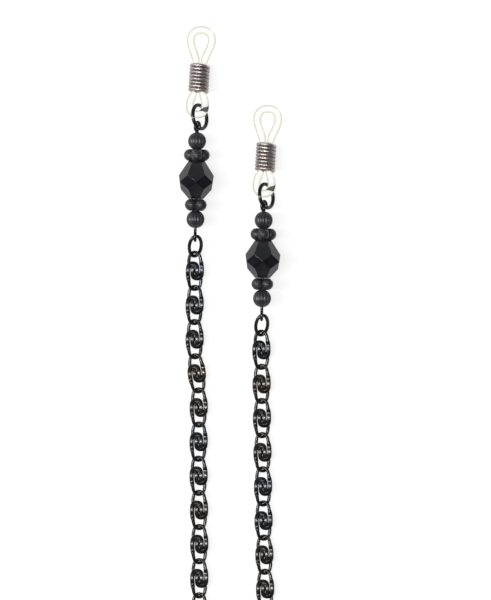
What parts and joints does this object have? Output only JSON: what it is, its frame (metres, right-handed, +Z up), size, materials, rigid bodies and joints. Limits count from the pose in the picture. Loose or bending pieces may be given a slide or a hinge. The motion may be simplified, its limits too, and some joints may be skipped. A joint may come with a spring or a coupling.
{
  "type": "eyeglass chain",
  "caption": "Beaded eyeglass chain: scroll-link strands ending in bead drops, jump rings and clear temple loops cinched by wire coils, with the spare chain hanked flat.",
  "frame": {"origin": "On the surface that the chain lies on, under the middle of the box around the two strands; the stored chain isn't counted.", "axes": "+X across the two strands, from the left one to the right one; +Y along the strands, towards the temple loops; +Z up from the surface."},
  "size_m": [0.0287, 0.225, 0.0087],
  "materials": {
    "black_wire": "black plated wire, satin with bright edges",
    "black_cast": "black oxidised cast metal, satin",
    "jet_glass": "polished opaque jet-black cut glass",
    "clear_rubber": "clear soft rubber, glossy",
    "bare_steel": "gun-metal spring wire, drawn finish"
  },
  "bodies": {
    "root": {"stored_chain_hank": "black_wire", "left_chain_lead": "black_wire", "right_chain_lead": "black_wire"},
    "left_link_11": {"left_link_11": "black_wire"},
    "left_link_10": {"left_link_10": "black_wire"},
    "left_link_09": {"left_link_09": "black_wire"},
    "left_link_08": {"left_link_08": "black_wire"},
    "left_link_07": {"left_link_07": "black_wire"},
    "left_link_06": {"left_link_06": "black_wire"},
    "left_link_05": {"left_link_05": "black_wire"},
    "left_link_04": {"left_link_04": "black_wire"},
    "left_link_03": {"left_link_03": "black_wire"},
    "left_link_02": {"left_link_02": "black_wire"},
    "left_link_01": {"left_link_01": "black_wire"},
    "left_connector_ring": {"left_connector_ring": "black_wire"},
    "left_eye_pin": {"left_eye_pin": "black_wire"},
    "left_lower_round_bead": {"left_lower_round_bead": "black_cast"},
    "left_lower_spacer": {"left_lower_spacer": "black_cast"},
    "left_faceted_bead": {"left_faceted_bead": "jet_glass"},
    "left_upper_spacer": {"left_upper_spacer": "black_cast"},
    "left_upper_round_bead": {"left_upper_round_bead": "black_cast"},
    "left_jump_ring": {"left_jump_ring": "black_wire"},
    "left_temple_loop": {"left_temple_loop": "clear_rubber"},
    "left_coil_sleeve": {"left_coil_sleeve": "bare_steel"},
    "right_link_09": {"right_link_09": "black_wire"},
    "right_link_08": {"right_link_08": "black_wire"},
    "right_link_07": {"right_link_07": "black_wire"},
    "right_link_06": {"right_link_06": "black_wire"},
    "right_link_05": {"right_link_05": "black_wire"},
    "right_link_04": {"right_link_04": "black_wire"},
    "right_link_03": {"right_link_03": "black_wire"},
    "right_link_02": {"right_link_02": "black_wire"},
    "right_link_01": {"right_link_01": "black_wire"},
    "right_connector_ring": {"right_connector_ring": "black_wire"},
    "right_eye_pin": {"right_eye_pin": "black_wire"},
    "right_lower_round_bead": {"right_lower_round_bead": "black_cast"},
    "right_lower_spacer": {"right_lower_spacer": "black_cast"},
    "right_faceted_bead": {"right_faceted_bead": "jet_glass"},
    "right_upper_spacer": {"right_upper_spacer": "black_cast"},
    "right_upper_round_bead": {"right_upper_round_bead": "black_cast"},
    "right_jump_ring": {"right_jump_ring": "black_wire"},
    "right_temple_loop": {"right_temple_loop": "clear_rubber"},
    "right_coil_sleeve": {"right_coil_sleeve": "bare_steel"}
  },
  "joints": [
    {"name": "left_link_11_flex", "type": "hinge", "parent": "root", "child": "left_link_11", "pos_m": [-0.00717, -0.06705, 0.00109], "axis": [1, -0.0064, 0], "range_deg": [-50, 50]},
    {"name": "left_link_10_flex", "type": "hinge", "parent": "left_link_11", "child": "left_link_10", "pos_m": [-0.00712, -0.05928, 0.00109], "axis": [-1, 0, 0], "range_deg": [-50, 50]},
    {"name": "left_link_09_flex", "type": "hinge", "parent": "left_link_10", "child": "left_link_09", "pos_m": [-0.00712, -0.05151, 0.00109], "axis": [1, 0, 0], "range_deg": [-50, 50]},
    {"name": "left_link_08_flex", "type": "hinge", "parent": "left_link_09", "child": "left_link_08", "pos_m": [-0.00712, -0.04374, 0.00109], "axis": [-0.9999, -0.0129, 0], "range_deg": [-50, 50]},
    {"name": "left_link_07_flex", "type": "hinge", "parent": "left_link_08", "child": "left_link_07", "pos_m": [-0.00722, -0.03597, 0.00109], "axis": [0.9999, 0.0129, 0], "range_deg": [-50, 50]},
    {"name": "left_link_06_flex", "type": "hinge", "parent": "left_link_07", "child": "left_link_06", "pos_m": [-0.00732, -0.0282, 0.00109], "axis": [-0.9999, 0.0129, 0], "range_deg": [-50, 50]},
    {"name": "left_link_05_flex", "type": "hinge", "parent": "left_link_06", "child": "left_link_05", "pos_m": [-0.00722, -0.02043, 0.00109], "axis": [1, 0.0064, 0], "range_deg": [-50, 50]},
    {"name": "left_link_04_flex", "type": "hinge", "parent": "left_link_05", "child": "left_link_04", "pos_m": [-0.00727, -0.01263, 0.00109], "axis": [-0.9941, -0.1087, 0], "range_deg": [-50, 50]},
    {"name": "left_link_03_flex", "type": "hinge", "parent": "left_link_04", "child": "left_link_03", "pos_m": [-0.00812, -0.00489, 0.00109], "axis": [0.9999, 0.0129, 0], "range_deg": [-50, 50]},
    {"name": "left_link_02_flex", "type": "hinge", "parent": "left_link_03", "child": "left_link_02", "pos_m": [-0.00822, 0.00288, 0.00109], "axis": [-0.9999, 0.0129, 0], "range_deg": [-50, 50]},
    {"name": "left_link_01_flex", "type": "hinge", "parent": "left_link_02", "child": "left_link_01", "pos_m": [-0.00812, 0.01067, 0.00109], "axis": [1, 0, 0], "range_deg": [-50, 50]},
    {"name": "left_connector_ring_swing", "type": "hinge", "parent": "left_link_01", "child": "left_connector_ring", "pos_m": [-0.00812, 0.01861, 0.00178], "axis": [1, 0, 0], "range_deg": [-70, 30]},
    {"name": "left_eye_pin_swing", "type": "hinge", "parent": "left_connector_ring", "child": "left_eye_pin", "pos_m": [-0.00804, 0.0223, 0.00439], "axis": [-0.9998, 0.0209, 0], "range_deg": [-75, 75]},
    {"name": "left_lower_round_bead_spin", "type": "hinge", "parent": "left_eye_pin", "child": "left_lower_round_bead", "pos_m": [-0.00796, 0.02622, 0.00439], "axis": [0.0209, 0.9998, 0], "continuous": true},
    {"name": "left_lower_spacer_spin", "type": "hinge", "parent": "left_eye_pin", "child": "left_lower_spacer", "pos_m": [-0.00789, 0.02947, 0.00439], "axis": [0.0209, 0.9998, 0], "continuous": true},
    {"name": "left_faceted_bead_spin", "type": "hinge", "parent": "left_eye_pin", "child": "left_faceted_bead", "pos_m": [-0.00777, 0.03512, 0.00439], "axis": [0.0209, 0.9998, 0], "continuous": true},
    {"name": "left_upper_spacer_spin", "type": "hinge", "parent": "left_eye_pin", "child": "left_upper_spacer", "pos_m": [-0.00765, 0.04077, 0.00439], "axis": [0.0209, 0.9998, 0], "continuous": true},
    {"name": "left_upper_round_bead_spin", "type": "hinge", "parent": "left_eye_pin", "child": "left_upper_round_bead", "pos_m": [-0.00759, 0.04394, 0.00439], "axis": [0.0209, 0.9998, 0], "continuous": true},
    {"name": "left_jump_ring_swing", "type": "hinge", "parent": "left_eye_pin", "child": "left_jump_ring", "pos_m": [-0.00752, 0.04722, 0.00439], "axis": [0.857, -0.018, -0.515], "range_deg": [-90, 90]},
    {"name": "left_temple_loop_swing", "type": "hinge", "parent": "left_jump_ring", "child": "left_temple_loop", "pos_m": [-0.00744, 0.05179, 0.0038], "axis": [-0.2848, -0.2304, 0.9305], "range_deg": [-60, 60]},
    {"name": "left_coil_sleeve_slide", "type": "slide", "parent": "left_temple_loop", "child": "left_coil_sleeve", "axis": [0.057, 0.9885, -0.1404], "range_m": [0, 0.002]},
    {"name": "right_link_09_flex", "type": "hinge", "parent": "root", "child": "right_link_09", "pos_m": [0.00798, -0.06946, 0.00109], "axis": [1, 0.0064, 0], "range_deg": [-50, 50]},
    {"name": "right_link_08_flex", "type": "hinge", "parent": "right_link_09", "child": "right_link_08", "pos_m": [0.00793, -0.06169, 0.00109], "axis": [-0.9998, -0.0193, 0], "range_deg": [-50, 50]},
    {"name": "right_link_07_flex", "type": "hinge", "parent": "right_link_08", "child": "right_link_07", "pos_m": [0.00778, -0.05392, 0.00109], "axis": [0.9997, 0.0257, 0], "range_deg": [-50, 50]},
    {"name": "right_link_06_flex", "type": "hinge", "parent": "right_link_07", "child": "right_link_06", "pos_m": [0.00758, -0.04615, 0.00109], "axis": [-0.9998, -0.0193, 0], "range_deg": [-50, 50]},
    {"name": "right_link_05_flex", "type": "hinge", "parent": "right_link_06", "child": "right_link_05", "pos_m": [0.00743, -0.03838, 0.00109], "axis": [0.9999, 0.0129, 0], "range_deg": [-50, 50]},
    {"name": "right_link_04_flex", "type": "hinge", "parent": "right_link_05", "child": "right_link_04", "pos_m": [0.00733, -0.03061, 0.00109], "axis": [-0.9998, -0.0193, 0], "range_deg": [-50, 50]},
    {"name": "right_link_03_flex", "type": "hinge", "parent": "right_link_04", "child": "right_link_03", "pos_m": [0.00718, -0.02284, 0.00109], "axis": [0.9999, 0.0129, 0], "range_deg": [-50, 50]},
    {"name": "right_link_02_flex", "type": "hinge", "parent": "right_link_03", "child": "right_link_02", "pos_m": [0.00708, -0.01507, 0.00109], "axis": [-1, -0.0064, 0], "range_deg": [-50, 50]},
    {"name": "right_link_01_flex", "type": "hinge", "parent": "right_link_02", "child": "right_link_01", "pos_m": [0.00703, -0.00728, 0.00109], "axis": [1, 0.0064, 0], "range_deg": [-50, 50]},
    {"name": "right_connector_ring_swing", "type": "hinge", "parent": "right_link_01", "child": "right_connector_ring", "pos_m": [0.00698, 0.00066, 0.00178], "axis": [1, 0.0064, 0], "range_deg": [-70, 30]},
    {"name": "right_eye_pin_swing", "type": "hinge", "parent": "right_connector_ring", "child": "right_eye_pin", "pos_m": [0.00706, 0.00435, 0.00439], "axis": [-0.9998, 0.0209, 0], "range_deg": [-75, 75]},
    {"name": "right_lower_round_bead_spin", "type": "hinge", "parent": "right_eye_pin", "child": "right_lower_round_bead", "pos_m": [0.00714, 0.00827, 0.00439], "axis": [0.0209, 0.9998, 0], "continuous": true},
    {"name": "right_lower_spacer_spin", "type": "hinge", "parent": "right_eye_pin", "child": "right_lower_spacer", "pos_m": [0.00721, 0.01152, 0.00439], "axis": [0.0209, 0.9998, 0], "continuous": true},
    {"name": "right_faceted_bead_spin", "type": "hinge", "parent": "right_eye_pin", "child": "right_faceted_bead", "pos_m": [0.00733, 0.01717, 0.00439], "axis": [0.0209, 0.9998, 0], "continuous": true},
    {"name": "right_upper_spacer_spin", "type": "hinge", "parent": "right_eye_pin", "child": "right_upper_spacer", "pos_m": [0.00745, 0.02282, 0.00439], "axis": [0.0209, 0.9998, 0], "continuous": true},
    {"name": "right_upper_round_bead_spin", "type": "hinge", "parent": "right_eye_pin", "child": "right_upper_round_bead", "pos_m": [0.00751, 0.02599, 0.00439], "axis": [0.0209, 0.9998, 0], "continuous": true},
    {"name": "right_jump_ring_swing", "type": "hinge", "parent": "right_eye_pin", "child": "right_jump_ring", "pos_m": [0.00758, 0.02927, 0.00439], "axis": [0.857, -0.018, -0.515], "range_deg": [-90, 90]},
    {"name": "right_temple_loop_swing", "type": "hinge", "parent": "right_jump_ring", "child": "right_temple_loop", "pos_m": [0.00766, 0.03384, 0.0038], "axis": [-0.2848, -0.2304, 0.9305], "range_deg": [-60, 60]},
    {"name": "right_coil_sleeve_slide", "type": "slide", "parent": "right_temple_loop", "child": "right_coil_sleeve", "axis": [0.057, 0.9885, -0.1404], "range_m": [0, 0.002]}
  ]
}
